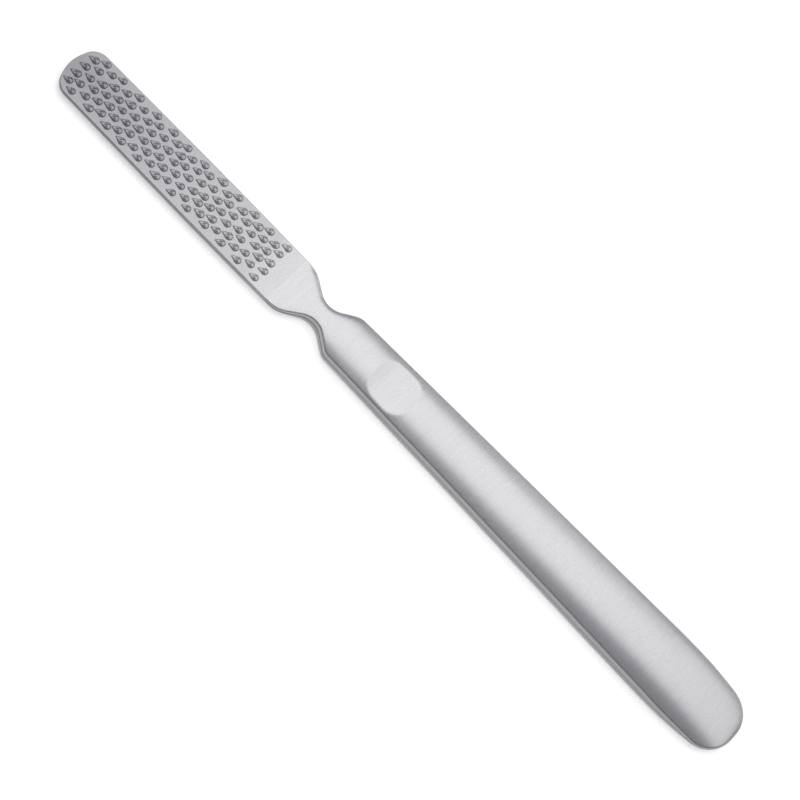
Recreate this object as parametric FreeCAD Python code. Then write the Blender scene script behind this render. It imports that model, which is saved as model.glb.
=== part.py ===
import FreeCAD, Part
import math
import os

# Foot file with a hollow handle. Millimetres, blade tip at -X, butt at +X, thumb side at +Z.
# Blade and handle share one middle plane; the flat belly of the handle lies on z = 0.

# Overall
TOTAL_LENGTH = 200.0
BELLY_DEPTH = 2.85

# Blade: a tapered strip, a little wider in the middle than at its ends
BLADE_LENGTH = 64.8
BLADE_ROOT_WIDTH = 13.3
BLADE_MIDDLE_WIDTH = 13.6
BLADE_TIP_WIDTH = 12.85
BLADE_MIDDLE_SHARE = 0.62
BLADE_SIDE_RADIUS = 700.0
BLADE_THICKNESS = 1.55
BLADE_TIP_THICKNESS = 1.25
BLADE_CHAMFER = 0.15
NOSE_RADIUS = 9.0
NOSE_CORNER_RADIUS = 3.9
NOSE_LEAN = 16.5

# Teeth: slanted rows across the blade, alternately one short of and equal to the full number
TOOTH_ROWS = 24
TEETH_IN_FULL_ROW = 5
TOOTH_ROW_PITCH = 2.477
TOOTH_SIDE_PITCH = 2.57
TOOTH_ROW_SLANT = 0.063
FIRST_ROW_FROM_TIP = 2.9
TOOTH_HEAD_RADIUS = 0.83
TOOTH_TAIL = 1.75
TOOTH_TAIL_TURN = 12.0
TOOTH_HEIGHT = 0.42
TOOTH_SEAT = 0.12
TOOTH_CREST_SHARE = 0.35

# Tang of the blade: wide under the cheeks of the neck, a narrow shank inside the handle
TANG_ROOT_WIDTH = 10.4
TANG_SHANK_WIDTH = 2.3
TANG_ROOT_THICKNESS = 0.8
TANG_SHANK_THICKNESS = 1.6
TANG_SHANK_FROM_ROOT = 8.2
TANG_LENGTH = 60.0

# Neck: two straight flares that meet in a round waist
ROOT_TO_WAIST = 10.5
NECK_WIDTH = 4.9
WAIST_RADIUS = 4.9
FLARE_ANGLE = math.radians(36.0)
FLARE_CORNER_RADIUS = 6.5
SHOULDER_CORNER_RADIUS = 3.3

# Handle: upright side wall under a crown of one radius, falling away towards the butt
HANDLE_FRONT_WIDTH = 11.5
HANDLE_WIDTH = 16.6
WIDEST_FROM_BUTT = 15.0
WIDEST_BLEND_RADIUS = 90.0
BUTT_WIDTH = 14.7
BUTT_CORNER_RADIUS = 6.9
WALL_HEIGHT = 3.4
CROWN_RADIUS = 16.0
CREASE_RADIUS = 0.35
BUTT_FALL_LENGTH = 24.6
BUTT_FALL_OVERRUN = 0.6

# Thumb dish in the upper shell
DISH_FROM_ROOT = 32.6
DISH_LENGTH = 10.6
DISH_DEPTH = 1.0

# Shell sheet and the weld along its side seam
SHEET = 1.0
WELD_HEIGHT = 0.5
WELD_DEPTH = 0.5

# Where things come to lie
TIP_X = -TOTAL_LENGTH / 2
BUTT_X = TOTAL_LENGTH / 2
ROOT_X = TIP_X + BLADE_LENGTH
WAIST_X = ROOT_X + ROOT_TO_WAIST
DISH_X = ROOT_X + DISH_FROM_ROOT
FALL_X = BUTT_X + BUTT_FALL_OVERRUN - BUTT_FALL_LENGTH
MID_Z = BELLY_DEPTH

# Corner below the waist where the two flares would meet, and where the rear flare ends
FLARE_SLOPE = math.tan(FLARE_ANGLE)
WAIST_CORNER_Y = NECK_WIDTH / 2 - WAIST_RADIUS * (1 / math.cos(FLARE_ANGLE) - 1)
FLARE_X = WAIST_X - (BLADE_ROOT_WIDTH / 2 - WAIST_CORNER_Y) / FLARE_SLOPE
SHOULDER_X = WAIST_X + (HANDLE_FRONT_WIDTH / 2 - WAIST_CORNER_Y) / FLARE_SLOPE

# Generous lengths for cutting blocks, and the margin of the crown beyond the widest outline
LEAD = 4.0
REACH = 20.0
CROWN_MARGIN = 1.0
CROWN_STEPS = 4


def vec(x, y, z=0.0):
    return FreeCAD.Vector(x, y, z)


def rounded_wire(corners):
    """Closed wire through (x, y, radius) corners, each rounded by its own radius."""
    bends = []
    for i, (x, y, radius) in enumerate(corners):
        corner = vec(x, y)
        back = (vec(*corners[i - 1][:2]) - corner).normalize()
        ahead = (vec(*corners[(i + 1) % len(corners)][:2]) - corner).normalize()
        half_angle = back.getAngle(ahead) / 2
        run = radius / math.tan(half_angle)
        rise = radius / math.sin(half_angle) - radius
        bends.append((corner + back * run, corner + (back + ahead).normalize() * rise, corner + ahead * run))
    edges = []
    for i, (enter, middle, leave) in enumerate(bends):
        if corners[i][2] > 0:
            edges.append(Part.Arc(enter, middle, leave).toShape())
        edges.append(Part.makeLine(leave, bends[(i + 1) % len(bends)][0]))
    return Part.Wire(edges)


def mirrored(corners):
    """The same corners with y turned over, in the opposite order."""
    return [(x, -y, radius) for x, y, radius in reversed(corners)]


def prism(wire, low, high):
    """Upright solid over a flat outline, between two heights."""
    face = Part.Face(wire)
    face.translate(vec(0, 0, low))
    return face.extrude(vec(0, 0, high - low))


def column(wire):
    """Upright solid over a flat outline, taller than the object both ways."""
    return prism(wire, -REACH, REACH)


def slab(profile):
    """Solid from a side profile of (x, z) points, wider than the object both ways."""
    ring = [vec(x, -REACH, z) for x, z in profile]
    return Part.Face(Part.makePolygon(ring + ring[:1])).extrude(vec(0, 2 * REACH, 0))


def block_behind(x):
    """Everything on the butt side of an upright plane."""
    return Part.makeBox(2 * TOTAL_LENGTH, 2 * REACH, 2 * REACH, vec(x, -REACH, -REACH))


def block_below(z):
    """Everything under a level plane."""
    corner = vec(-TOTAL_LENGTH, -REACH, z - 2 * REACH)
    return Part.makeBox(2 * TOTAL_LENGTH, 2 * REACH, 2 * REACH, corner)


def flipped(shape):
    """Mirror image on the other side of the middle plane."""
    return shape.mirror(vec(0, 0, MID_Z), vec(0, 0, 1))


def middle_of(edge):
    return edge.valueAt((edge.FirstParameter + edge.LastParameter) / 2)


def crown_sag(half_width):
    """How far the crown lies below its top line at a distance from the middle."""
    return CROWN_RADIUS - math.sqrt(CROWN_RADIUS ** 2 - half_width ** 2)


def crown_height(x):
    """Height of the handle's top line over the middle plane, before the butt falls away."""
    front = WALL_HEIGHT / 2 + crown_sag(HANDLE_FRONT_WIDTH / 2)
    rear = WALL_HEIGHT / 2 + crown_sag(HANDLE_WIDTH / 2)
    return front + (rear - front) * (x - SHOULDER_X) / (FALL_X - SHOULDER_X)


def handle_outline(inset):
    """Plan outline of neck and handle moved inwards; it starts a little ahead of the root line."""
    side = [
        (ROOT_X - LEAD, BLADE_ROOT_WIDTH / 2, 0),
        (FLARE_X, BLADE_ROOT_WIDTH / 2, FLARE_CORNER_RADIUS),
        (WAIST_X, WAIST_CORNER_Y, WAIST_RADIUS),
        (SHOULDER_X, HANDLE_FRONT_WIDTH / 2, SHOULDER_CORNER_RADIUS),
        (BUTT_X - WIDEST_FROM_BUTT, HANDLE_WIDTH / 2, WIDEST_BLEND_RADIUS),
        (BUTT_X, BUTT_WIDTH / 2, BUTT_CORNER_RADIUS),
    ]
    wire = rounded_wire(side + mirrored(side))
    if inset > 0:
        wire = Part.Face(wire).makeOffset2D(-inset).OuterWire
    return wire


def crown_stations():
    """(x, height over the middle plane, share of the full crown) along the top line."""
    root_height = BLADE_THICKNESS / 2
    ramp = SHOULDER_X - ROOT_X
    stations = []
    for share in (-0.12, 0.0, 0.3, 0.6, 0.85):
        height = root_height + share * (crown_height(SHOULDER_X) - root_height)
        stations.append((ROOT_X + share * ramp, height, max(share, 0.0)))
    for share in (0.04, 0.15, 0.4, 0.7):
        x = SHOULDER_X + share * (FALL_X - SHOULDER_X)
        stations.append((x, crown_height(x), 1.0))
    for degrees in (0, 15, 30, 45, 60, 70, 80):
        turn = math.radians(degrees)
        x = FALL_X + BUTT_FALL_LENGTH * math.sin(turn)
        stations.append((x, crown_height(FALL_X) * math.cos(turn), 1.0))
    return stations


def crowned_block(drop):
    """Solid under the crowned top surface, that surface lowered by a drop."""
    reach = HANDLE_WIDTH / 2 + CROWN_MARGIN
    grid = []
    for x, height, share in crown_stations():
        top = MID_Z + height - drop
        line = []
        for step in range(-CROWN_STEPS, CROWN_STEPS + 1):
            y = reach * step / CROWN_STEPS
            line.append(vec(x, y, top - share * crown_sag(y)))
        grid.append(line)
    surface = Part.BSplineSurface()
    surface.interpolate(grid)
    return surface.toShape().extrude(vec(0, 0, -2 * REACH))


def handle_half(inset):
    """Upper half of neck and handle as a full solid, its surface moved inwards."""
    body = column(handle_outline(inset)).common(crowned_block(inset))
    return body.cut(block_below(MID_Z)).common(block_behind(ROOT_X))


def flat_topped(half, inset):
    """The half with the flat belly cut across its crown."""
    return half.common(block_below(MID_Z + BELLY_DEPTH - inset))


def with_round_crease(half):
    """The edge between crown and side wall rounded over."""
    crease = []
    for edge in half.Edges:
        middle = middle_of(edge)
        upright = edge.BoundBox.ZLength > edge.BoundBox.DiagonalLength / 2
        on_wall = MID_Z + CREASE_RADIUS < middle.z < MID_Z + BELLY_DEPTH - CREASE_RADIUS
        if on_wall and middle.x > ROOT_X + CREASE_RADIUS and not upright:
            crease.append(edge)
    return half.makeFillet(CREASE_RADIUS, crease)


def dish_cutter(inset):
    """Cylinder lying across the handle that scoops out the thumb dish."""
    radius = ((DISH_LENGTH / 2) ** 2 + DISH_DEPTH ** 2) / (2 * DISH_DEPTH)
    axis_z = MID_Z + crown_height(DISH_X) - DISH_DEPTH + radius
    return Part.makeCylinder(radius + inset, 2 * REACH, vec(DISH_X, -REACH, axis_z), vec(0, 1, 0))


def cavity():
    """Hollow of the closed handle, starting behind the neck."""
    half = handle_half(SHEET).common(block_behind(SHOULDER_X))
    above = half.cut(dish_cutter(SHEET))
    below = flipped(flat_topped(half, SHEET))
    return above.fuse(below).removeSplitter()


def weld_ring():
    """Narrow band along the side seam, flush with the wall."""
    low = MID_Z - WELD_HEIGHT / 2
    high = MID_Z + WELD_HEIGHT / 2
    band = prism(handle_outline(0), low, high).cut(prism(handle_outline(WELD_DEPTH), low, high))
    return band.common(block_behind(ROOT_X))


def tang():
    shank_x = ROOT_X + TANG_SHANK_FROM_ROOT
    end_x = ROOT_X + TANG_LENGTH
    side = [
        (ROOT_X, TANG_ROOT_WIDTH / 2, 0),
        (shank_x, TANG_SHANK_WIDTH / 2, 0),
        (end_x, TANG_SHANK_WIDTH / 2, 0),
    ]
    thin = TANG_ROOT_THICKNESS / 2
    thick = TANG_SHANK_THICKNESS / 2
    wedge = slab([
        (ROOT_X, MID_Z + thin), (shank_x, MID_Z + thick), (end_x, MID_Z + thick),
        (end_x, MID_Z - thick), (shank_x, MID_Z - thick), (ROOT_X, MID_Z - thin),
    ])
    return column(rounded_wire(side + mirrored(side))).common(wedge)


def blade_top(x):
    """Height of the blade's upper face."""
    share = (x - TIP_X) / BLADE_LENGTH
    return MID_Z + (BLADE_TIP_THICKNESS + share * (BLADE_THICKNESS - BLADE_TIP_THICKNESS)) / 2


def blade_plate():
    """Strip between tip and root line with a small chamfer around both faces."""
    lean = math.radians(NOSE_LEAN)
    apex_x = TIP_X - NOSE_RADIUS * (1 / math.cos(lean) - 1)
    side = [
        (ROOT_X, BLADE_ROOT_WIDTH / 2, 0),
        (TIP_X + BLADE_MIDDLE_SHARE * BLADE_LENGTH, BLADE_MIDDLE_WIDTH / 2, BLADE_SIDE_RADIUS),
        (apex_x + BLADE_TIP_WIDTH / 2 * math.tan(lean), BLADE_TIP_WIDTH / 2, NOSE_CORNER_RADIUS),
    ]
    plan = rounded_wire(side + [(apex_x, 0, NOSE_RADIUS)] + mirrored(side))
    ahead_x = TIP_X - LEAD
    wedge = slab([
        (ahead_x, blade_top(ahead_x)), (ROOT_X, blade_top(ROOT_X)),
        (ROOT_X, 2 * MID_Z - blade_top(ROOT_X)), (ahead_x, 2 * MID_Z - blade_top(ahead_x)),
    ])
    plate = column(plan).common(wedge)
    rim = []
    for edge in plate.Edges:
        upright = edge.BoundBox.ZLength > BLADE_TIP_THICKNESS / 2
        if not upright and middle_of(edge).x < ROOT_X - BLADE_CHAMFER:
            rim.append(edge)
    return plate.makeChamfer(BLADE_CHAMFER, rim)


def teardrop(scale, shift, z):
    """Outline of a tooth at one height: round head towards +X, pointed tail towards -X."""
    radius = TOOTH_HEAD_RADIUS * scale
    touch = math.pi - math.acos(TOOTH_HEAD_RADIUS / TOOTH_TAIL)
    tail = vec(shift - TOOTH_TAIL * scale, 0, z)
    head = vec(shift + radius, 0, z)
    left = vec(shift + radius * math.cos(touch), radius * math.sin(touch), z)
    right = vec(left.x, -left.y, z)
    return Part.Wire([Part.makeLine(tail, right), Part.Arc(right, head, left).toShape(),
                      Part.makeLine(left, tail)])


def tooth():
    """Tooth at the origin, sunk a little below the face, its crest set back towards the head."""
    crest_shift = TOOTH_HEAD_RADIUS * (1 - TOOTH_CREST_SHARE) / 2
    foot = teardrop(1.0, 0.0, -TOOTH_SEAT)
    crest = teardrop(TOOTH_CREST_SHARE, crest_shift, TOOTH_HEIGHT)
    solid = Part.makeLoft([foot, crest], True, True)
    solid.rotate(vec(0, 0), vec(0, 0, 1), TOOTH_TAIL_TURN)
    return solid


def teeth():
    pattern = tooth()
    placed = []
    for row in range(TOOTH_ROWS):
        count = TEETH_IN_FULL_ROW - 1 + row % 2
        for place in range(count):
            y = (place - (count - 1) / 2) * TOOTH_SIDE_PITCH
            x = TIP_X + FIRST_ROW_FROM_TIP + row * TOOTH_ROW_PITCH + y * TOOTH_ROW_SLANT
            copy = pattern.copy()
            copy.translate(vec(x, y, blade_top(x)))
            placed.append(copy)
    return placed


def rasp_blade():
    return blade_plate().multiFuse([tang()] + teeth()).removeSplitter()


def main():
    upper_half = with_round_crease(handle_half(0)).cut(dish_cutter(0))
    lower_half = flipped(with_round_crease(flat_topped(handle_half(0), 0)))
    hollow = cavity()
    spike = tang()
    weld = weld_ring()
    filled = hollow.fuse(spike).fuse(weld)
    pieces = {
        "rasp_blade": rasp_blade(),
        "handle_upper_shell": upper_half.cut(filled),
        "handle_lower_shell": lower_half.cut(filled),
        "handle_filler": hollow.cut(spike),
        "seam_weld": weld,
    }
    os.makedirs("parts", exist_ok=True)
    for name, shape in pieces.items():
        print(name, len(shape.Solids), "solid", round(shape.Volume, 1), "mm3")
        shape.Solids[0].exportStep("parts/" + name + ".step")


main()
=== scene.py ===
import math

import bmesh
import bpy
import numpy as np
from bpy.props import (
    FloatProperty,
    FloatVectorProperty,
    IntProperty,
    PointerProperty,
)
from mathutils import Matrix, Vector, kdtree


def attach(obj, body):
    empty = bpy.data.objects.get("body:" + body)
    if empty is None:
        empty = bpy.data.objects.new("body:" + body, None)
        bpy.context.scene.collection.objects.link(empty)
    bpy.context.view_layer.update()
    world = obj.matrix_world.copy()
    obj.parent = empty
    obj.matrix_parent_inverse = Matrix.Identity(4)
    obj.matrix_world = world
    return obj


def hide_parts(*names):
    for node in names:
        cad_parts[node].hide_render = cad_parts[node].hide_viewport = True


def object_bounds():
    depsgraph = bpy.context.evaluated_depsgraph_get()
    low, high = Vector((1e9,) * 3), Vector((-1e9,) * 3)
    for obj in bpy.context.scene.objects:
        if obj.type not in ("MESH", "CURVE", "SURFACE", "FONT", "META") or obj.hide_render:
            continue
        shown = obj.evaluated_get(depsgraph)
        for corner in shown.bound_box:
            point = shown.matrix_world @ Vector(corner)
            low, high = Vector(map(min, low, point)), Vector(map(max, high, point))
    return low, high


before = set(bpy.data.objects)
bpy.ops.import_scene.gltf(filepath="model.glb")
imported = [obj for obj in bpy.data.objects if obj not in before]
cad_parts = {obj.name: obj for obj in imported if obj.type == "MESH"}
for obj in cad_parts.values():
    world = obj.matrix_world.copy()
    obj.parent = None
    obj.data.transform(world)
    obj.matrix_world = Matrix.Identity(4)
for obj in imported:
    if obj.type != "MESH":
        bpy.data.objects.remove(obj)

bl_info = {
    "name": "Foot File",
    "version": (1, 0, 0),
    "blender": (4, 5, 0),
    "location": "View3D > Sidebar > Foot File",
    "description": "Builds a steel foot file with a toothed blade and a hollow handle",
    "category": "Add Mesh",
}

MM = 0.001
CAD_LOW, CAD_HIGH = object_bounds()
TIP_X = CAD_LOW.x / MM
BUTT_X = CAD_HIGH.x / MM

# Fineness of the meshes. Steps in from an edge are in millimetres, and rows down a wall are shares of
# its height. The last two are in metres.
HANDLE_STATIONS = 560
HANDLE_EDGE_STEPS = (0.0, 0.015, 0.045, 0.09, 0.15, 0.23, 0.33, 0.45, 0.6, 0.78, 1.0)
HANDLE_RIBS = 20
HANDLE_WALL_ROWS = (0.15, 0.4, 0.7, 0.93)
BLADE_STATIONS = 760
BLADE_EDGE_STEPS = (0.0, 0.015, 0.045, 0.09, 0.15, 0.22, 0.32, 0.45)
BLADE_RIBS = 66
BLADE_WALL_ROWS = (0.33, 0.67)
UNDERSIDE_RIBS = 6
OUTLINE_FINENESS = 6
EDGE_SHARE = 0.45
ARC_STEP = 0.05
FEWEST_ARC_POINTS = 8
SAME_POINT = 2e-7
NO_LENGTH = 1e-8

# Distance from a closed end at which the ribs begin to fan out, and at which the last one starts.
BUTT_FAN, BUTT_LAST_RIB = 12.0, 5.0
NOSE_FAN, NOSE_LAST_RIB = 7.0, 3.5

# Transitions on the handle, in millimetres; the last two are shares.
NECK_RUN_IN, NECK_RUN_OUT = 3.0, 4.0
WELD_RUN_IN, WELD_RUN_OUT = 2.0, 6.0
DISH_CUT = 0.3
BELLY_BLEND = 0.02
CREASE_SHARE = 0.8
END_OF_FALL = 0.999

# Section of the weld: how far each row stands out, and its height as a share of half the weld.
WELD_PROFILE = ((0.0, -1.0), (0.6, -0.9), (1.0, -0.55), (1.0, 0.0), (1.0, 0.55), (0.6, 0.9), (0.0, 1.0))
WELD_ROUND = 0.5
WELD_SHARP_ANGLE = math.radians(50)

# Teeth: band inside the outline where burr and pit set in, reach of a tooth, and uneven punching.
TOOTH_RIM = 0.15
TOOTH_REACH = 1.3
SIDE_SCATTER = 0.7
TURN_SCATTER = 0.07
SIZE_SCATTER = 0.05

# Finish and painted shade. A surface counts as upright below, and as level above, these heights of its
# normal; upright surfaces get painted shade. The spans along and across the tool, from the span of
# painted shade towards the butt on, are in metres.
SHELL_SIDES = (0.5, 0.93)
BLADE_SIDES = (0.05, 0.98)
GRAIN_SPAN = (0.3, 0.7)
SPECKLE = 0.13
POLISH = 0.04
GRAIN_BUMP = {"Strength": 0.15, "Distance": 0.00005}
CEMENT_BUMP = {"Strength": 0.4, "Distance": 0.0001}
CEMENT_TONE = (0.8, 1.15)
PAINTED_BUTT_SHADE_SPAN = (0.03, 0.1)
# The blade's middle is darker near the nose over this span across it.
MIDDLE_DARK_SPAN = (0.001, 0.006)
PLAIN_FROM, PLAIN_TO = 0.008, 0.003
# Share of the blade's length that this darker middle reaches from the nose.
MIDDLE_DARK_SHARE = 0.6

# Camera: sensor and near limit, and the point in the picture's middle in millimetres.
SENSOR_WIDTH = 36.0
NEAR_LIMIT = 0.01
AIM_ALONG, AIM_AWAY = -0.21, -0.366


def length(name, description, default_mm):
    """A length property, given in millimetres and kept in metres."""
    return FloatProperty(name=name, description=description, default=default_mm * MM,
                         min=0.0, subtype="DISTANCE", unit="LENGTH", precision=5)


def angle(name, description, default_degrees):
    """An angle property, given in degrees and kept in radians."""
    return FloatProperty(name=name, description=description, default=math.radians(default_degrees),
                         subtype="ANGLE", unit="ROTATION")


def share(name, description, default):
    """A property between nothing and all."""
    return FloatProperty(name=name, description=description, default=default,
                         min=0.0, max=1.0, subtype="FACTOR")


def brightness(name, default):
    """The brightness of a lamp's face as a property."""
    return FloatProperty(name=name, description="Brightness of its face", default=default, min=0.0)


def colour(name, description, default):
    """A colour property."""
    return FloatVectorProperty(name=name, description=description, default=default,
                               min=0.0, max=1.0, size=3, subtype="COLOR")


class BladeSettings(bpy.types.PropertyGroup):
    """Sizes of the toothed blade."""
    nose_to_root: length("Nose to root", "From the nose to the root line", 64.8)
    root_width: length("Root width", "Width at the root line", 13.3)
    middle_width: length("Middle width", "Width at the widest place", 13.6)
    widest_from_nose: share("Widest from nose", "Widest place as a share of the blade's length", 0.62)
    side_radius: length("Side radius", "Radius of the side at the widest place", 700.0)
    tip_width: length("Tip width", "Width behind the nose", 12.95)
    thickness: length("Thickness", "Thickness at the root", 1.55)
    tip_thickness: length("Tip thickness", "Thickness at the nose", 1.05)
    edge_round: length("Edge round", "Radius along the upper and lower edge", 0.18)
    nose_radius: length("Nose radius", "Radius of the front end", 9.0)
    nose_corner: length("Nose corner", "Radius of the two front corners", 3.9)
    nose_lean: angle("Nose lean", "How far the front end leans back on both sides", 16.5)


class TeethSettings(bpy.types.PropertyGroup):
    """Pattern and shape of the punched teeth."""
    rows: IntProperty(name="Rows", description="Rows across the blade", default=24, min=1)
    full_row: IntProperty(name="Full row", description="Teeth in every second row", default=5, min=2)
    row_pitch: length("Row pitch", "Distance from row to row", 2.477)
    side_pitch: length("Side pitch", "Distance between teeth of a row", 2.57)
    first_row: length("First row", "Distance of the first row from the nose", 3.15)
    side_shift: length("Side shift", "How far the pattern lies off the middle line", 0.2)
    row_slant: FloatProperty(name="Row slant", description="Lean of the rows across the blade",
                             default=0.063)
    head_radius: length("Head radius", "Radius of the round end of a tooth", 0.874)
    tail: length("Tail", "From the middle of the round end to the point of the tail", 1.988)
    tail_turn: angle("Tail turn", "How far the tail swings to the near side", 12.1)
    lip_height: length("Lip height", "Height of the lip thrown up around a tooth", 0.19)
    lip_width: length("Lip width", "Width of the flank of that lip", 0.24)
    burr_height: length("Burr height", "How far the burr stands over the lip", 0.36)
    burr_radius: length("Burr radius", "Reach of the burr", 0.543)
    pit_depth: length("Pit depth", "Depth of the pit behind the burr", 0.26)
    pit_back: length("Pit back", "Distance of the pit from the middle of the burr", 0.52)
    pit_side: length("Pit side", "How far the pit lies off the line of the tooth", 0.2)
    pit_length: length("Pit length", "Reach of the pit along its line", 0.38)
    pit_width: length("Pit width", "Reach of the pit across its line", 0.22)
    pit_turn: angle("Pit turn", "Turn of the pit against the line of the tooth", 10.0)
    scatter: length("Scatter", "Uneven placing of the punch", 0.2)
    seed: IntProperty(name="Seed", description="Seed of the uneven placing", default=7)


class HandleSettings(bpy.types.PropertyGroup):
    """Sizes of neck and handle."""
    root_line: length("Root line", "Rounding on both sides of the line across the root", 0.006)
    root_to_waist: length("Root to waist", "From the root line to the narrowest place", 10.5)
    neck_width: length("Neck width", "Width at the waist", 4.95)
    waist_radius: length("Waist radius", "Radius of the hollow at the waist", 4.9)
    flare_angle: angle("Flare angle", "Angle of the flares beside the waist", 36.0)
    flare_corner: length("Flare corner", "Radius where the flare leaves the blade", 6.5)
    shoulder_corner: length("Shoulder corner", "Radius where the handle begins", 3.3)
    front_width: length("Front width", "Width of the handle behind the neck", 11.9)
    width: length("Width", "Width of the handle at its widest place", 16.6)
    widest_from_butt: length("Widest from butt", "Distance of the widest place from the end", 15.0)
    widest_blend: length("Widest blend", "Radius of the side at the widest place", 90.0)
    butt_width: length("Butt width", "Width between the corners of the end", 14.7)
    butt_corner: length("Butt corner", "Radius of the corners of the end", 6.9)
    wall_height: length("Wall height", "Height of the upright side", 3.4)
    belly_depth: length("Belly depth", "From the middle plane to the flat belly", 2.85)
    crown_radius: length("Crown radius", "Radius of the arched top", 16.0)
    crease_round: length("Crease round", "Radius of the edge between top and side", 0.35)
    dish_crease: length("Dish crease", "Radius of that edge where the dish cuts it", 0.2)
    neck_crease: length("Neck crease", "Radius of that edge along the neck", 0.25)
    far_pillow: length("Far pillow", "How far the top of the neck falls towards its far edge", 0.34)
    near_pillow: length("Near pillow", "How far it falls towards its near edge", 0.12)
    pillow_width: length("Pillow width", "Width over which it falls", 1.8)
    belly_round: length("Belly round", "Radius of the edge between belly and side", 0.35)
    fall_length: length("Fall length", "Length over which the butt falls away", 24.6)
    fall_overrun: length("Fall overrun", "How far the fall reaches past the end", 0.6)
    dish_from_root: length("Dish from root", "Distance of the thumb dish from the root line", 32.2)
    dish_length: length("Dish length", "Length of the thumb dish", 10.9)
    dish_depth: length("Dish depth", "Depth of the thumb dish", 0.76)
    dish_flatness: FloatProperty(name="Dish flatness", description="How flat the floor of the dish is",
                                 default=3.5, min=1.0)
    dish_tilt: angle("Dish tilt", "How far the floor of the dish tips to the near side", 2.0)
    dish_blend: length("Dish blend", "Softness of the rim of the dish", 0.15)
    weld_height: length("Weld height", "Height of the weld along the seam", 0.5)
    weld_depth: length("Weld depth", "How deep the weld reaches in", 0.5)
    weld_inset: length("Weld inset", "How far the weld lies back all along", 0.02)
    weld_recess: length("Weld recess", "How much further it lies back at the neck", 0.05)


class FinishSettings(bpy.types.PropertyGroup):
    """Colours and polish of the metal, with painted shade on its upright sides and towards the butt."""
    shell_colour: colour("Shell steel", "Satin steel of the handle", (0.70, 0.70, 0.705))
    # Painted shade: the handle is darker towards its end.
    painted_butt_shade: share("Butt tone", "Tone of the handle at its end against its front", 0.88)
    shell_roughness: share("Shell roughness", "Roughness of the handle", 0.31)
    # Painted shade: how much darker the upright sides of the handle are than its top.
    shell_painted_side_shade: share("Shell side tone", "Tone of the upright sides against the top", 0.46)
    blade_root_colour: colour("Blade at root", "Ground steel near the handle", (0.67, 0.67, 0.677))
    blade_tip_colour: colour("Blade at tip", "Ground steel near the nose", (0.44, 0.438, 0.457))
    blade_roughness: share("Blade roughness", "Roughness of the blade", 0.33)
    # Painted shade: how much darker the upright edges of the blade are than its face.
    blade_painted_side_shade: share("Blade side tone", "Tone of the upright edge against the face", 0.4)
    blade_middle_dark: share("Blade smudge", "How much darker the middle of the blade is at the nose", 0.14)
    # The toothed part is darker: partly a darker punched finish, partly painted shade among the teeth.
    toothed_finish_and_shade: share("Toothed tone", "Tone of the toothed part against the plain stretch", 0.88)
    weld_colour: colour("Weld steel", "Ground weld along the seam", (0.62, 0.62, 0.64))
    weld_roughness: share("Weld roughness", "Roughness of the weld", 0.36)
    cement_colour: colour("Cement", "Bedding inside the handle", (0.55, 0.53, 0.49))
    cement_roughness: share("Cement roughness", "Roughness of the bedding", 0.9)


class StageSettings(bpy.types.PropertyGroup):
    """Floor, light and camera."""
    elevation: angle("Elevation", "Height of the camera over the floor", 65.0)
    roll: angle("Roll", "Turn of the picture about the line of sight", 45.65)
    distance: length("Distance", "From the camera to the object", 646.0)
    lens: FloatProperty(name="Lens", description="Focal length", default=137.5, min=1.0,
                        subtype="DISTANCE_CAMERA", unit="CAMERA")
    softbox_height: length("Softbox height", "Height of the softbox over the floor", 800.0)
    softbox_width: length("Softbox width", "Its size along the object", 2800.0)
    softbox_split: length("Softbox split", "Where its blade half meets its butt half", 100.0)
    blade_half_near: angle("Blade half, near edge", "Lean of its near edge towards the camera", 6.0)
    blade_half_far: angle("Blade half, far edge", "Lean of its far edge away from the camera", 52.5)
    blade_half_level: brightness("Blade half, level", 0.86)
    butt_half_near: angle("Butt half, near edge", "Lean of its near edge towards the camera", 12.0)
    butt_half_far: angle("Butt half, far edge", "Lean of its far edge away from the camera", 74.0)
    butt_half_level: brightness("Butt half, level", 0.74)
    room_colour: colour("Room", "Light of the room around", (0.272, 0.266, 0.291))
    floor_colour: colour("Floor", "Pale floor", (0.8, 0.8, 0.8))
    floor_lift: share("Floor lift", "Added brightness of the floor as it is seen", 0.4)
    floor_size: length("Floor size", "Side of the square floor", 8000.0)
    table_lamp_height: length("Table lamp height", "Height of the lamp for the floor alone", 2500.0)
    table_lamp_size: length("Table lamp size", "Side of the lamp for the floor alone", 2200.0)
    table_lamp_level: brightness("Table lamp level", 3.2)


class FootFileSettings(bpy.types.PropertyGroup):
    """Everything that can be changed on the foot file."""
    blade: PointerProperty(type=BladeSettings)
    teeth: PointerProperty(type=TeethSettings)
    handle: PointerProperty(type=HandleSettings)
    finish: PointerProperty(type=FinishSettings)
    stage: PointerProperty(type=StageSettings)


def in_mm(value):
    """A property's length in millimetres."""
    return value / MM


def between(start, end, part):
    """The value a given part of the way from start to end."""
    return start + (end - start) * part


def smooth_step(low, high, value):
    """Nothing below low, one above high, and an even bend between them."""
    t = np.clip((value - low) / (high - low), 0.0, 1.0)
    return t * t * (3.0 - 2.0 * t)


def soft_min(a, b, softness):
    """The lower of two heights, with the corner between them rounded over."""
    h = np.clip(0.5 + 0.5 * (b - a) / softness, 0.0, 1.0)
    return b + (a - b) * h - softness * h * (1.0 - h)


def rounding(distance, radius):
    """How far a rounded edge lies below the full face at a distance from the outline."""
    inside = np.clip(radius - distance, 0.0, radius)
    return radius - np.sqrt(np.maximum(radius ** 2 - inside ** 2, 0.0))


def turned(a, b, turn):
    """Plan coordinates along and across a line that is turned by an angle."""
    c, s = math.cos(turn), math.sin(turn)
    return a * c + b * s, b * c - a * s


def run_along(points):
    """Distance of each point from the first one, along the line through them."""
    return np.concatenate(([0.0], np.cumsum(np.linalg.norm(np.diff(points, axis=0), axis=1))))


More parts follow.
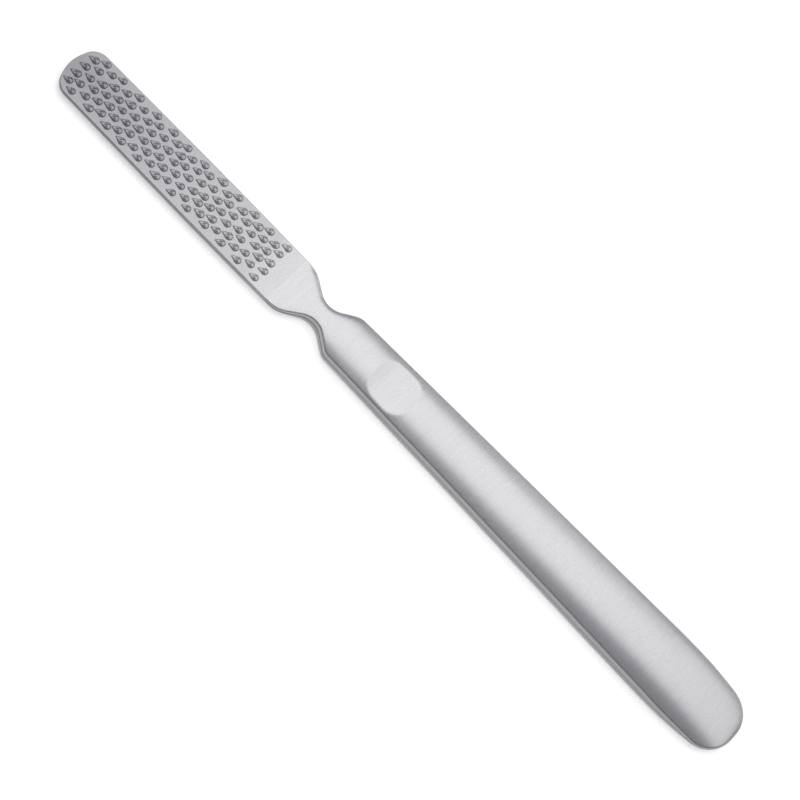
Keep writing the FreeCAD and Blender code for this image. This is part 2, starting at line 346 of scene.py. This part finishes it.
def half_outline(side, count):
    """Evenly spaced points along one side of a symmetric outline, from its open end to its far end.

    The side is a list of (x, y, radius) corners; the other side is its mirror image.
    """
    corners = side + [(x, -y, radius) for x, y, radius in reversed(side) if y > 0]
    path = []
    for k, (x, y, radius) in enumerate(corners):
        corner = np.array((x, y))
        if k in (0, len(corners) - 1):
            path.append(corner)
            continue
        back = np.array(corners[k - 1][:2]) - corner
        ahead = np.array(corners[k + 1][:2]) - corner
        back /= np.linalg.norm(back)
        ahead /= np.linalg.norm(ahead)
        half_angle = math.acos(np.clip(back @ ahead, -1.0, 1.0)) / 2
        inward = (back + ahead) / np.linalg.norm(back + ahead)
        middle = corner + inward * radius / math.sin(half_angle)
        start = corner + back * radius / math.tan(half_angle) - middle
        sweep = math.pi - 2 * half_angle
        if start[0] * ahead[1] - start[1] * ahead[0] < 0:
            sweep = -sweep
        arc_points = max(FEWEST_ARC_POINTS, int(abs(sweep) * radius / ARC_STEP))
        for turn in np.linspace(0.0, sweep, arc_points):
            path.append(middle + np.array(turned(*start, -turn)))
    path = np.array(path)
    run = run_along(path)
    places = np.linspace(0.0, run[-1] / 2, count)
    points = np.stack((np.interp(places, run, path[:, 0]), np.interp(places, run, path[:, 1])), 1)
    points[-1, 1] = 0.0
    return points


def distance_to(outline, plan):
    """Distance of plan points to an outline given by its half."""
    tree = kdtree.KDTree(2 * len(outline))
    for i, (x, y) in enumerate(outline):
        tree.insert((x, y, 0.0), 2 * i)
        tree.insert((x, -y, 0.0), 2 * i + 1)
    tree.balance()
    distances = [tree.find((x, y, 0.0))[2] for x, y in plan.reshape(-1, 2)]
    return np.array(distances).reshape(plan.shape[:-1])


def ribs(outline, turn_x, end_x, edge_steps, inner_count):
    """Plan grid over an outline: ribs run from both sides to the middle line.

    Past turn_x the ribs fan out around the closed end, and the last one starts at end_x.
    """
    run = run_along(outline)
    past = (outline[:, 0] - turn_x) * np.sign(end_x - turn_x) > 0
    first = int(np.argmax(past))
    spine = outline[:, 0].copy()
    spine[first:] = np.interp(run[first:], (run[first], run[-1]), (spine[first], end_x))
    grid = []
    for (x, y), middle_x in zip(outline, spine):
        reach = math.hypot(x - middle_x, y)
        widest = np.linspace(0.0, EDGE_SHARE, len(edge_steps)) * reach
        edge = np.minimum(np.array(edge_steps), widest)
        steps = np.concatenate((edge, np.linspace(edge[-1], reach, inner_count + 1)[1:])) / reach
        side = np.stack((x + (middle_x - x) * steps, y * (1.0 - steps)), 1)
        grid.append(np.concatenate((side, (side * (1, -1))[::-1][1:])))
    return np.array(grid)


def with_height(plan, height):
    """Plan points raised to a height."""
    return np.concatenate((plan, np.broadcast_to(height, plan.shape[:-1])[..., None]), -1)


def column_rows(edge_plan, top, bottom, parts):
    """Points down an upright side between two heights."""
    return np.stack([with_height(edge_plan, between(top, bottom, part)) for part in parts], 1)


def lofted(name, rings, capped_end=False):
    """Closed mesh object through rings of equal count, given in millimetres.

    The first ring gets a cap. The last one gets another, or is a seam where its points meet.
    """
    stations, around = rings.shape[:2]
    index = np.arange(stations * around).reshape(stations, around)
    beside = np.roll(index, -1, 1)
    quads = np.stack((index[:-1], index[1:], beside[1:], beside[:-1]), -1)
    faces = quads.reshape(-1, 4).tolist() + [index[0].tolist()]
    if capped_end:
        faces.append(index[-1][::-1].tolist())
    mesh = bpy.data.meshes.new(name)
    mesh.from_pydata((rings.reshape(-1, 3) * MM).tolist(), [], faces)
    work = bmesh.new()
    work.from_mesh(mesh)
    bmesh.ops.remove_doubles(work, verts=work.verts, dist=SAME_POINT)
    bmesh.ops.dissolve_degenerate(work, dist=NO_LENGTH, edges=work.edges)
    bmesh.ops.recalc_face_normals(work, faces=work.faces)
    for face in work.faces:
        face.smooth = len(face.verts) <= 4
        for edge in face.edges:
            edge.smooth = edge.smooth and face.smooth
    work.to_mesh(mesh)
    work.free()
    piece = bpy.data.objects.new(name, mesh)
    bpy.context.scene.collection.objects.link(piece)
    return piece


def dress(piece, material, node):
    """Gives a piece its material, and ties it to the solid that it stands for."""
    piece.data.materials.clear()
    piece.data.materials.append(material)
    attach(piece, "root")
    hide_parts(node)


class HandleForm:
    """Heights and outline of neck and handle, in millimetres over the middle plane."""

    def __init__(self, settings):
        h, b = settings.handle, settings.blade
        self.h = h
        self.mid = in_mm(h.belly_depth)
        self.root_x = TIP_X + in_mm(b.nose_to_root)
        self.root_height = in_mm(b.thickness) / 2
        self.root_half = in_mm(b.root_width) / 2
        self.front_half = in_mm(h.front_width) / 2
        self.widest_half = in_mm(h.width) / 2
        self.weld_half = in_mm(h.weld_height) / 2
        slope = math.tan(h.flare_angle)
        corner_cut = in_mm(h.waist_radius) * (1 / math.cos(h.flare_angle) - 1)
        self.waist_x = self.root_x + in_mm(h.root_to_waist)
        self.waist_y = in_mm(h.neck_width) / 2 - corner_cut
        self.flare_x = self.waist_x - (self.root_half - self.waist_y) / slope
        self.shoulder_x = self.waist_x + (self.front_half - self.waist_y) / slope
        self.fall_x = BUTT_X + in_mm(h.fall_overrun) - in_mm(h.fall_length)
        self.dish_x = self.root_x + in_mm(h.dish_from_root)

    def outline(self, count, inset=0.0):
        """One side of neck and handle in plan, or a line that lies further in."""
        h = self.h
        side = [
            (self.root_x, self.root_half, 0.0),
            (self.flare_x, self.root_half, in_mm(h.flare_corner)),
            (self.waist_x, self.waist_y, in_mm(h.waist_radius)),
            (self.shoulder_x, self.front_half, in_mm(h.shoulder_corner)),
            (BUTT_X - in_mm(h.widest_from_butt), self.widest_half, in_mm(h.widest_blend)),
            (BUTT_X, in_mm(h.butt_width) / 2, in_mm(h.butt_corner)),
        ]
        points = half_outline(side, count)
        if inset > 0:
            along = np.gradient(points, axis=0)
            along /= np.linalg.norm(along, axis=1)[:, None]
            points = points + inset * np.stack((along[:, 1], -along[:, 0]), 1)
            points[0, 0] = self.root_x
            points[-1, 1] = 0.0
        return points

    def sag(self, y):
        """How far the arched top lies below its middle."""
        radius = in_mm(self.h.crown_radius)
        return radius - np.sqrt(radius ** 2 - y ** 2)

    def top_line(self, x):
        """Height of the middle of the top, and the share of the full crown there."""
        wall = in_mm(self.h.wall_height) / 2
        front = wall + self.sag(self.front_half)
        rear = wall + self.sag(self.widest_half)
        ramp = np.clip((x - self.root_x) / (self.shoulder_x - self.root_x), 0.0, 1.0)
        climb = np.clip((x - self.shoulder_x) / (self.fall_x - self.shoulder_x), 0.0, 1.0)
        turn = np.clip((x - self.fall_x) / in_mm(self.h.fall_length), 0.0, END_OF_FALL)
        neck = between(self.root_height, front, ramp)
        handle = between(front, rear, climb)
        butt = rear * np.sqrt(1.0 - turn ** 2)
        height = np.where(x < self.shoulder_x, neck, np.where(x < self.fall_x, handle, butt))
        return height, ramp

    def crown(self, plan):
        """Height of the arched top."""
        height, ramp = self.top_line(plan[..., 0])
        return height - ramp * self.sag(plan[..., 1])

    def dish(self, plan):
        """Height of the floor of the thumb dish, which rises towards both its ends."""
        h = self.h
        off = np.abs(plan[..., 0] - self.dish_x)
        half, depth = in_mm(h.dish_length) / 2, in_mm(h.dish_depth)
        floor = self.top_line(np.array(self.dish_x))[0] - depth
        rise = depth * (off / half) ** h.dish_flatness
        return floor + rise + math.tan(h.dish_tilt) * plan[..., 1]


def shell_height(form, outline, plan, upper):
    """Heights of a shell's outer face over its plan grid, with the edges rounded."""
    h = form.h
    crown = form.crown(plan)
    behind_neck = smooth_step(form.waist_x, form.shoulder_x + NECK_RUN_OUT, outline[:, :1])
    if upper:
        height = soft_min(crown, form.dish(plan), in_mm(h.dish_blend))
        crease = between(in_mm(h.neck_crease), in_mm(h.crease_round), behind_neck)
        cut = smooth_step(0.0, DISH_CUT, (crown - height)[:, :1])
        crease = between(crease, in_mm(h.dish_crease), cut)
    else:
        height = soft_min(crown, in_mm(h.belly_depth), BELLY_BLEND)
        crease = in_mm(h.belly_round)
    edge_distance = distance_to(form.outline(OUTLINE_FINENESS * HANDLE_STATIONS), plan)
    on_neck = smooth_step(form.root_x, form.root_x + NECK_RUN_IN, outline[:, :1]) * (1.0 - behind_neck)
    edge_fall = np.clip(1.0 - edge_distance / in_mm(h.pillow_width), 0.0, 1.0) ** 2
    pillow = np.where(plan[..., 1] > 0, in_mm(h.far_pillow), in_mm(h.near_pillow))
    height = height - pillow * on_neck * edge_fall
    crease = np.minimum(crease, CREASE_SHARE * (height[:, :1] - form.weld_half))
    root_round = rounding(plan[..., 0] - form.root_x, in_mm(h.root_line))
    return height - rounding(edge_distance, crease) - root_round


def handle_shell(form, name, upper):
    """One pressed half of the handle as a closed body with a rabbet for the weld."""
    outline = form.outline(HANDLE_STATIONS)
    inner = form.outline(HANDLE_STATIONS, in_mm(form.h.weld_depth))
    plan = ribs(outline, BUTT_X - BUTT_FAN, BUTT_X - BUTT_LAST_RIB, HANDLE_EDGE_STEPS, HANDLE_RIBS)
    height = shell_height(form, outline, plan, upper)
    sides = []
    for sign, column in ((-1, -1), (1, 0)):
        edge, bed = outline * (1, sign), inner * (1, sign)
        wall = column_rows(edge, height[:, column], form.weld_half, HANDLE_WALL_ROWS)
        rabbet = np.stack((with_height(edge, form.weld_half), with_height(bed, form.weld_half),
                           with_height(bed, 0.0)), 1)
        sides.append(np.concatenate((wall, rabbet), 1))
    near, far = sides
    rings = np.concatenate((with_height(plan, height), near, far[:, ::-1]), 1)
    rings[..., 2] = form.mid + (rings[..., 2] if upper else -rings[..., 2])
    return lofted(name, rings)


def weld_band(form, name):
    """Ring of weld metal along the side seam, lying back a little more at the neck."""
    h = form.h
    outer = form.outline(HANDLE_STATIONS)
    inner = form.outline(HANDLE_STATIONS, in_mm(h.weld_depth))
    outward = (outer - inner) / np.linalg.norm(outer - inner, axis=1)[:, None]
    behind_neck = smooth_step(form.shoulder_x - WELD_RUN_IN, form.shoulder_x + WELD_RUN_OUT, outer[:, :1])
    recess = in_mm(h.weld_inset) + in_mm(h.weld_recess) * (1.0 - behind_neck)
    rows = []
    for out, height in WELD_PROFILE:
        sunk = recess * (1.0 + WELD_ROUND * (1.0 - out))
        rows.append(with_height(outer - outward * sunk, height * form.weld_half))
    rows += [with_height(inner, form.weld_half), with_height(inner, -form.weld_half)]
    far = np.stack(rows, 1)
    rings = np.concatenate((far, (far * (1, -1, 1))[::-1][1:]))
    rings[..., 2] += form.mid
    piece = lofted(name, rings, capped_end=True)
    piece.data.set_sharp_from_angle(angle=WELD_SHARP_ANGLE)
    return piece


def inside_teardrop(a, b, radius, tail):
    """Distance inside the outline of a round end with two straight flanks that meet at the tail."""
    sine = radius / tail
    cosine = math.sqrt(1.0 - sine ** 2)
    flank = radius + a * sine - np.abs(b) * cosine
    on_head = a * cosine + np.abs(b) * sine > 0.0
    return np.where(on_head, radius - np.hypot(a, b), flank)


def tooth_shape(dx, dy, teeth, turn, size):
    """Height of one tooth: a low lip all round, a burr at the round end and a pit behind it."""
    a, b = turned(dx / size, dy / size, turn)
    inside = inside_teardrop(a, b, in_mm(teeth.head_radius), in_mm(teeth.tail))
    lip = in_mm(teeth.lip_height) * smooth_step(0.0, in_mm(teeth.lip_width), inside)
    burr = in_mm(teeth.burr_height) * np.exp(-(a ** 2 + b ** 2) / in_mm(teeth.burr_radius) ** 2)
    along, across = turned(a + in_mm(teeth.pit_back), b - in_mm(teeth.pit_side), teeth.pit_turn)
    along, across = along / in_mm(teeth.pit_length), across / in_mm(teeth.pit_width)
    pit = in_mm(teeth.pit_depth) * np.exp(-along ** 2 - across ** 2)
    return lip + (burr - pit) * np.clip(inside / TOOTH_RIM, 0.0, 1.0)


def tooth_relief(plan, teeth):
    """Height added to the blade's face by all punched teeth."""
    rng = np.random.default_rng(teeth.seed)
    scatter, reach = in_mm(teeth.scatter), TOOTH_REACH * in_mm(teeth.tail)
    relief = np.zeros(plan.shape[:-1])
    for row in range(teeth.rows):
        row_x = TIP_X + in_mm(teeth.first_row) + row * in_mm(teeth.row_pitch)
        count = teeth.full_row - 1 + row % 2
        for place in range(count):
            y = (place - (count - 1) / 2) * in_mm(teeth.side_pitch)
            x = row_x + y * teeth.row_slant + rng.normal(0.0, scatter)
            y += in_mm(teeth.side_shift) + rng.normal(0.0, scatter * SIDE_SCATTER)
            turn = teeth.tail_turn + rng.normal(0.0, TURN_SCATTER)
            size = rng.normal(1.0, SIZE_SCATTER)
            dx, dy = plan[..., 0] - x, plan[..., 1] - y
            near = np.maximum(np.abs(dx), np.abs(dy)) < reach
            relief[near] += tooth_shape(dx[near], dy[near], teeth, turn, size)
    return relief


def toothed_blade(settings, form, name):
    """Tapered strip with rounded edges and the punched teeth in its upper face."""
    b = settings.blade
    blade_length, tip_half = in_mm(b.nose_to_root), in_mm(b.tip_width) / 2
    apex_x = TIP_X - in_mm(b.nose_radius) * (1 / math.cos(b.nose_lean) - 1)
    side = [
        (form.root_x, form.root_half, 0.0),
        (TIP_X + b.widest_from_nose * blade_length, in_mm(b.middle_width) / 2, in_mm(b.side_radius)),
        (apex_x + tip_half * math.tan(b.nose_lean), tip_half, in_mm(b.nose_corner)),
        (apex_x, 0.0, in_mm(b.nose_radius)),
    ]
    outline = half_outline(side, BLADE_STATIONS)
    fine_outline = half_outline(side, OUTLINE_FINENESS * BLADE_STATIONS)

    def face(rib_count):
        """Plan grid of one face, and its height off the middle plane."""
        plan = ribs(outline, TIP_X + NOSE_FAN, TIP_X + NOSE_LAST_RIB, BLADE_EDGE_STEPS, rib_count)
        grow = np.clip((plan[..., 0] - TIP_X) / blade_length, 0.0, 1.0)
        thickness = between(in_mm(b.tip_thickness), in_mm(b.thickness), grow)
        edge_drop = rounding(distance_to(fine_outline, plan), in_mm(b.edge_round))
        root_drop = rounding(form.root_x - plan[..., 0], in_mm(form.h.root_line))
        return plan, thickness / 2 - edge_drop - root_drop

    plan, top = face(BLADE_RIBS)
    under_plan, depth = face(UNDERSIDE_RIBS)
    relief = tooth_relief(plan, settings.teeth)
    near = column_rows(outline * (1, -1), top[:, -1], -depth[:, -1], BLADE_WALL_ROWS)
    far = column_rows(outline, top[:, 0], -depth[:, 0], BLADE_WALL_ROWS)
    rings = np.concatenate((with_height(plan, top + relief), near,
                            with_height(under_plan, -depth)[:, ::-1], far[:, ::-1]), 1)
    rings[..., 2] += form.mid
    return lofted(name, rings)


def add_node(tree, kind, entries=None, **options):
    """New shader node with its options set, and its inputs fed by sockets or plain values."""
    node = tree.nodes.new("ShaderNode" + kind)
    for option, value in options.items():
        setattr(node, option, value)
    for key, value in (entries or {}).items():
        if isinstance(value, bpy.types.NodeSocket):
            tree.links.new(value, node.inputs[key])
        else:
            node.inputs[key].default_value = value
    return node


def calculated(tree, operation, *values):
    """Result of a calculation with sockets and plain numbers."""
    return add_node(tree, "Math", dict(enumerate(values)), operation=operation).outputs["Value"]


def multiplied(tree, first, *others):
    """Product of several sockets."""
    for other in others:
        first = calculated(tree, "MULTIPLY", first, other)
    return first


def ranged(tree, value, from_range, to_range, smooth=False):
    """Maps a value from one range to another."""
    entries = {"Value": value, "From Min": from_range[0], "From Max": from_range[1],
               "To Min": to_range[0], "To Max": to_range[1]}
    bend = "SMOOTHSTEP" if smooth else "LINEAR"
    return add_node(tree, "MapRange", entries, interpolation_type=bend).outputs["Result"]


def place_on_object(tree):
    """Place of a surface point in the object's own coordinates, in metres."""
    return add_node(tree, "TexCoord").outputs["Object"]


def split_place(tree):
    """The three coordinates of that place."""
    return add_node(tree, "SeparateXYZ", {"Vector": place_on_object(tree)}).outputs


def new_group(name, inputs, output_names):
    """Group of nodes with number sockets: the group, what it is given and what it gives out."""
    group = bpy.data.node_groups.new(name, "ShaderNodeTree")
    for input_name, default in inputs.items():
        socket = group.interface.new_socket(input_name, in_out="INPUT", socket_type="NodeSocketFloat")
        socket.default_value = default
    for output_name in output_names:
        group.interface.new_socket(output_name, in_out="OUTPUT", socket_type="NodeSocketFloat")
    return group, group.nodes.new("NodeGroupInput").outputs, group.nodes.new("NodeGroupOutput").inputs


def grain_group():
    """Satin grain: fine specks and faint streaks across the tool."""
    name = "Satin grain"
    if name in bpy.data.node_groups:
        return bpy.data.node_groups[name]
    inputs = {"Speck scale": 3.0, "Streak scale": 1.2, "Streak share": 0.3}
    group, given, result = new_group(name, inputs, ("Tone", "Height"))
    to_mm = add_node(group, "Mapping", {"Vector": place_on_object(group), "Scale": (1 / MM,) * 3})
    stretch = add_node(group, "Mapping", {"Vector": to_mm.outputs["Vector"], "Scale": (3.0, 0.12, 0.5)})
    speck = add_node(group, "TexNoise", {"Vector": to_mm.outputs["Vector"], "Scale": given["Speck scale"],
                                         "Detail": 3.0, "Roughness": 0.6})
    streak = add_node(group, "TexNoise", {"Vector": stretch.outputs["Vector"],
                                          "Scale": given["Streak scale"], "Detail": 2.0})
    mixed = add_node(group, "Mix", {"Factor": given["Streak share"], "A": speck.outputs["Fac"],
                                    "B": streak.outputs["Fac"]})
    for output_name in ("Tone", "Height"):
        group.links.new(mixed.outputs["Result"], result[output_name])
    return group


def painted_side_shade_group():
    """Painted shade by how the surface stands: full tone where it lies level, darker on upright sides."""
    name = "Upright sides"
    if name in bpy.data.node_groups:
        return bpy.data.node_groups[name]
    inputs = {"Tone on sides": 0.6, "Upright below": 0.05, "Level above": 0.9}
    group, given, result = new_group(name, inputs, ("Tone",))
    normal = add_node(group, "NewGeometry").outputs["Normal"]
    upward = add_node(group, "SeparateXYZ", {"Vector": normal}).outputs["Z"]
    tone = ranged(group, calculated(group, "ABSOLUTE", upward),
                  (given["Upright below"], given["Level above"]),
                  (given["Tone on sides"], 1.0), smooth=True)
    group.links.new(tone, result["Tone"])
    return group


def new_material(name):
    """Empty material, its nodes, and the input that takes its surface."""
    material = bpy.data.materials.new(name)
    material.use_nodes = True
    tree = material.node_tree
    tree.nodes.clear()
    return material, tree, add_node(tree, "OutputMaterial").inputs["Surface"]


def steel(name, roughness, painted_side_shade, side_range):
    """Satin steel without its colour: the material, its nodes, its shader and the tone over the surface,
    which carries painted shade on upright sides.
    """
    material, tree, surface = new_material(name)
    grain = add_node(tree, "Group", node_tree=grain_group()).outputs
    # Painted shade: upright sides are darker than level ones.
    sides = add_node(tree, "Group", node_tree=painted_side_shade_group(), entries={
        "Tone on sides": painted_side_shade, "Upright below": side_range[0], "Level above": side_range[1]}).outputs
    speckle = ranged(tree, grain["Tone"], GRAIN_SPAN, (1.0 - SPECKLE, 1.0 + SPECKLE))
    polish = ranged(tree, grain["Tone"], GRAIN_SPAN, (roughness - POLISH, roughness + POLISH))
    bump = add_node(tree, "Bump", {"Height": grain["Height"], **GRAIN_BUMP})
    shader = add_node(tree, "BsdfPrincipled", {"Metallic": 1.0, "Roughness": polish,
                                               "Normal": bump.outputs["Normal"]})
    tree.links.new(shader.outputs["BSDF"], surface)
    return material, tree, shader, multiplied(tree, speckle, sides["Tone"])


def paint(tree, shader, base, tone):
    """Colours a shader with one colour that is scaled by the tone over the surface."""
    scaled = add_node(tree, "VectorMath", {0: base, "Scale": tone}, operation="SCALE")
    tree.links.new(scaled.outputs["Vector"], shader.inputs["Base Color"])


def shell_steel(finish):
    """Satin steel with painted shade that darkens it towards the butt."""
    material, tree, shader, tone = steel("satin_shell_steel", finish.shell_roughness,
                                         finish.shell_painted_side_shade, SHELL_SIDES)
    # Painted shade: the colour darkens towards the butt.
    rear = ranged(tree, split_place(tree)["X"], PAINTED_BUTT_SHADE_SPAN, (0.0, 1.0))
    shade_to_butt = ranged(tree, multiplied(tree, rear, rear), (0.0, 1.0), (1.0, finish.painted_butt_shade))
    paint(tree, shader, tuple(finish.shell_colour), multiplied(tree, tone, shade_to_butt))
    return material


def weld_steel(finish):
    """Ground weld metal, a little darker than the shells, with the painted shade of upright sides."""
    material, tree, shader, tone = steel("ground_weld_steel", finish.weld_roughness,
                                         finish.shell_painted_side_shade, SHELL_SIDES)
    paint(tree, shader, tuple(finish.weld_colour), tone)
    return material


def blade_steel(finish, tip_x, root_x):
    """Ground steel that darkens towards the nose, most of all along its middle, and among the teeth, where
    a darker punched finish and painted shade both play a part; upright edges get painted shade.
    """
    material, tree, shader, tone = steel("ground_blade_steel", finish.blade_roughness,
                                         finish.blade_painted_side_shade, BLADE_SIDES)
    place = split_place(tree)
    # The blade is darker along its middle towards the nose.
    middle_dark_end = between(tip_x, root_x, MIDDLE_DARK_SHARE)
    middle = ranged(tree, calculated(tree, "ABSOLUTE", place["Y"]), MIDDLE_DARK_SPAN, (1.0, 0.0), smooth=True)
    front = ranged(tree, place["X"], (tip_x, middle_dark_end), (1.0, 0.0))
    middle_dark = ranged(tree, multiplied(tree, middle, front), (0.0, 1.0), (1.0, 1.0 - finish.blade_middle_dark))
    # Darker toothed part: partly punched finish, partly painted shade among the teeth.
    toothed = ranged(tree, place["X"], (root_x - PLAIN_FROM, root_x - PLAIN_TO),
                     (finish.toothed_finish_and_shade, 1.0), smooth=True)
    base = add_node(tree, "Mix", data_type="RGBA", entries={
        "Factor": ranged(tree, place["X"], (tip_x, root_x), (0.0, 1.0)),
        "A": (*finish.blade_tip_colour, 1.0), "B": (*finish.blade_root_colour, 1.0)})
    paint(tree, shader, base.outputs["Result"], multiplied(tree, tone, middle_dark, toothed))
    return material


def bedding_cement(finish):
    """Matt cast cement with a coarse grain."""
    material, tree, surface = new_material("bedding_cement")
    lumps = add_node(tree, "TexNoise", {"Vector": place_on_object(tree), "Scale": 900.0,
                                        "Detail": 5.0}).outputs["Fac"]
    bump = add_node(tree, "Bump", {"Height": lumps, **CEMENT_BUMP})
    shader = add_node(tree, "BsdfPrincipled", {"Roughness": finish.cement_roughness,
                                               "Normal": bump.outputs["Normal"]})
    paint(tree, shader, tuple(finish.cement_colour), ranged(tree, lumps, (0.0, 1.0), CEMENT_TONE))
    tree.links.new(shader.outputs["BSDF"], surface)
    return material


def add_floor(stage):
    """Pale floor with a lift where it is seen or mirrored; from below it lets the view through."""
    bpy.ops.mesh.primitive_plane_add(size=stage.floor_size)
    floor = bpy.context.object
    floor.name = "floor"
    material, tree, surface = new_material("pale_floor")
    ray = add_node(tree, "LightPath").outputs
    seen = ray["Is Camera Ray"]
    for kind in ("Is Glossy Ray", "Is Transmission Ray"):
        seen = calculated(tree, "MAXIMUM", seen, ray[kind])
    matt = add_node(tree, "BsdfDiffuse", {"Color": (*stage.floor_colour, 1.0)})
    lift = add_node(tree, "Emission", {"Strength": calculated(tree, "MULTIPLY", seen, stage.floor_lift)})
    lifted = add_node(tree, "AddShader", {0: matt.outputs["BSDF"], 1: lift.outputs["Emission"]})
    clear = add_node(tree, "BsdfTransparent")
    below = add_node(tree, "NewGeometry").outputs["Backfacing"]
    either = add_node(tree, "MixShader", {0: below, 1: lifted.outputs["Shader"], 2: clear.outputs["BSDF"]})
    tree.links.new(either.outputs["Shader"], surface)
    floor.data.materials.append(material)
    return floor


def light_only(lamp, floor, link_state):
    """Lets a lamp light the floor alone, or everything but the floor."""
    chosen = bpy.data.collections.new(lamp.name + "_light")
    chosen.objects.link(floor)
    chosen.collection_objects[0].light_linking.link_state = link_state
    lamp.light_linking.receiver_collection = chosen


def area_lamp(name, place, along, across, level):
    """Lamp with an even face of a given brightness that points straight down."""
    light = bpy.data.lights.new(name, "AREA")
    light.shape = "RECTANGLE"
    light.size = along
    light.size_y = across
    light.energy = level * math.pi * along * across
    lamp = bpy.data.objects.new(name, light)
    lamp.location = place
    lamp.visible_camera = False
    bpy.context.scene.collection.objects.link(lamp)
    return lamp


def add_light(stage, floor):
    """Softbox in two halves for the object, a lamp for the floor, and the light of the room."""
    height, half_width = stage.softbox_height, stage.softbox_width / 2
    for name, left, right, near_lean, far_lean, level in (
            ("blade_half", -half_width, stage.softbox_split,
             stage.blade_half_near, stage.blade_half_far, stage.blade_half_level),
            ("butt_half", stage.softbox_split, half_width,
             stage.butt_half_near, stage.butt_half_far, stage.butt_half_level)):
        near = -height * math.tan(near_lean)
        far = height * math.tan(far_lean)
        place = ((left + right) / 2, (near + far) / 2, height)
        light_only(area_lamp(name, place, right - left, far - near, level), floor, "EXCLUDE")
    table_lamp = area_lamp("table_lamp", (0.0, 0.0, stage.table_lamp_height), stage.table_lamp_size,
                           stage.table_lamp_size, stage.table_lamp_level)
    light_only(table_lamp, floor, "INCLUDE")
    world = bpy.data.worlds.new("studio_room")
    world.use_nodes = True
    world.node_tree.nodes["Background"].inputs["Color"].default_value = (*stage.room_colour, 1.0)
    bpy.context.scene.world = world


def add_camera(stage, mid):
    """Camera over the near side, rolled so that the tool lies on the picture's diagonal."""
    camera = bpy.data.cameras.new("camera")
    camera.lens = stage.lens
    camera.sensor_width = SENSOR_WIDTH
    camera.clip_start = NEAR_LIMIT
    holder = bpy.data.objects.new("camera", camera)
    bpy.context.scene.collection.objects.link(holder)
    rise, roll = stage.elevation, stage.roll
    along = Vector((1.0, 0.0, 0.0))
    away = Vector((0.0, math.sin(rise), math.cos(rise)))
    back = Vector((0.0, -math.cos(rise), math.sin(rise)))
    right = math.cos(roll) * along + math.sin(roll) * away
    up = -math.sin(roll) * along + math.cos(roll) * away
    target = Vector((AIM_ALONG, 0.0, mid)) * MM + AIM_AWAY * MM * away
    place = Matrix((right, up, back)).transposed().to_4x4()
    place.translation = target + back * stage.distance
    holder.matrix_world = place
    bpy.context.scene.camera = holder


class FOOTFILE_OT_blade(bpy.types.Operator):
    """Builds the blade with its punched teeth"""
    bl_idname = "footfile.blade"
    bl_label = "Blade"

    def execute(self, context):
        settings = context.scene.foot_file
        form = HandleForm(settings)
        piece = toothed_blade(settings, form, "toothed_blade")
        material = blade_steel(settings.finish, TIP_X * MM, form.root_x * MM)
        dress(piece, material, "rasp_blade")
        return {"FINISHED"}


class FOOTFILE_OT_handle(bpy.types.Operator):
    """Builds the two pressed halves of neck and handle"""
    bl_idname = "footfile.handle"
    bl_label = "Handle shells"

    def execute(self, context):
        settings = context.scene.foot_file
        form = HandleForm(settings)
        material = shell_steel(settings.finish)
        for node, upper in (("handle_upper_shell", True), ("handle_lower_shell", False)):
            piece = handle_shell(form, "satin_" + node, upper)
            dress(piece, material, node)
        return {"FINISHED"}


class FOOTFILE_OT_weld(bpy.types.Operator):
    """Builds the weld along the side seam"""
    bl_idname = "footfile.weld"
    bl_label = "Seam weld"

    def execute(self, context):
        settings = context.scene.foot_file
        piece = weld_band(HandleForm(settings), "ground_weld")
        dress(piece, weld_steel(settings.finish), "seam_weld")
        return {"FINISHED"}


class FOOTFILE_OT_filler(bpy.types.Operator):
    """Gives the bedding inside the handle its cement"""
    bl_idname = "footfile.filler"
    bl_label = "Handle filler"

    def execute(self, context):
        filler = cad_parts["handle_filler"]
        filler.data.materials.clear()
        filler.data.materials.append(bedding_cement(context.scene.foot_file.finish))
        return {"FINISHED"}


class FOOTFILE_OT_stage(bpy.types.Operator):
    """Sets up floor, light and camera"""
    bl_idname = "footfile.stage"
    bl_label = "Stage"

    def execute(self, context):
        settings = context.scene.foot_file
        floor = add_floor(settings.stage)
        add_light(settings.stage, floor)
        add_camera(settings.stage, in_mm(settings.handle.belly_depth))
        context.scene.view_settings.view_transform = "Standard"
        return {"FINISHED"}


class FOOTFILE_PT_panel(bpy.types.Panel):
    """Lists the steps that build the foot file"""
    bl_idname = "FOOTFILE_PT_panel"
    bl_label = "Foot File"
    bl_space_type = "VIEW_3D"
    bl_region_type = "UI"
    bl_category = "Foot File"

    def draw(self, context):
        for operator in OPERATORS:
            self.layout.operator(operator.bl_idname)


OPERATORS = (FOOTFILE_OT_blade, FOOTFILE_OT_handle, FOOTFILE_OT_weld, FOOTFILE_OT_filler,
             FOOTFILE_OT_stage)
CLASSES = (BladeSettings, TeethSettings, HandleSettings, FinishSettings, StageSettings,
           FootFileSettings, *OPERATORS, FOOTFILE_PT_panel)


def register():
    for cls in CLASSES:
        bpy.utils.register_class(cls)
    bpy.types.Scene.foot_file = PointerProperty(type=FootFileSettings)


def unregister():
    del bpy.types.Scene.foot_file
    for cls in reversed(CLASSES):
        bpy.utils.unregister_class(cls)


def main():
    register()
    for operator in (bpy.ops.footfile.blade, bpy.ops.footfile.handle, bpy.ops.footfile.weld,
                     bpy.ops.footfile.filler, bpy.ops.footfile.stage):
        operator()


if __name__ == "__main__":
    main()
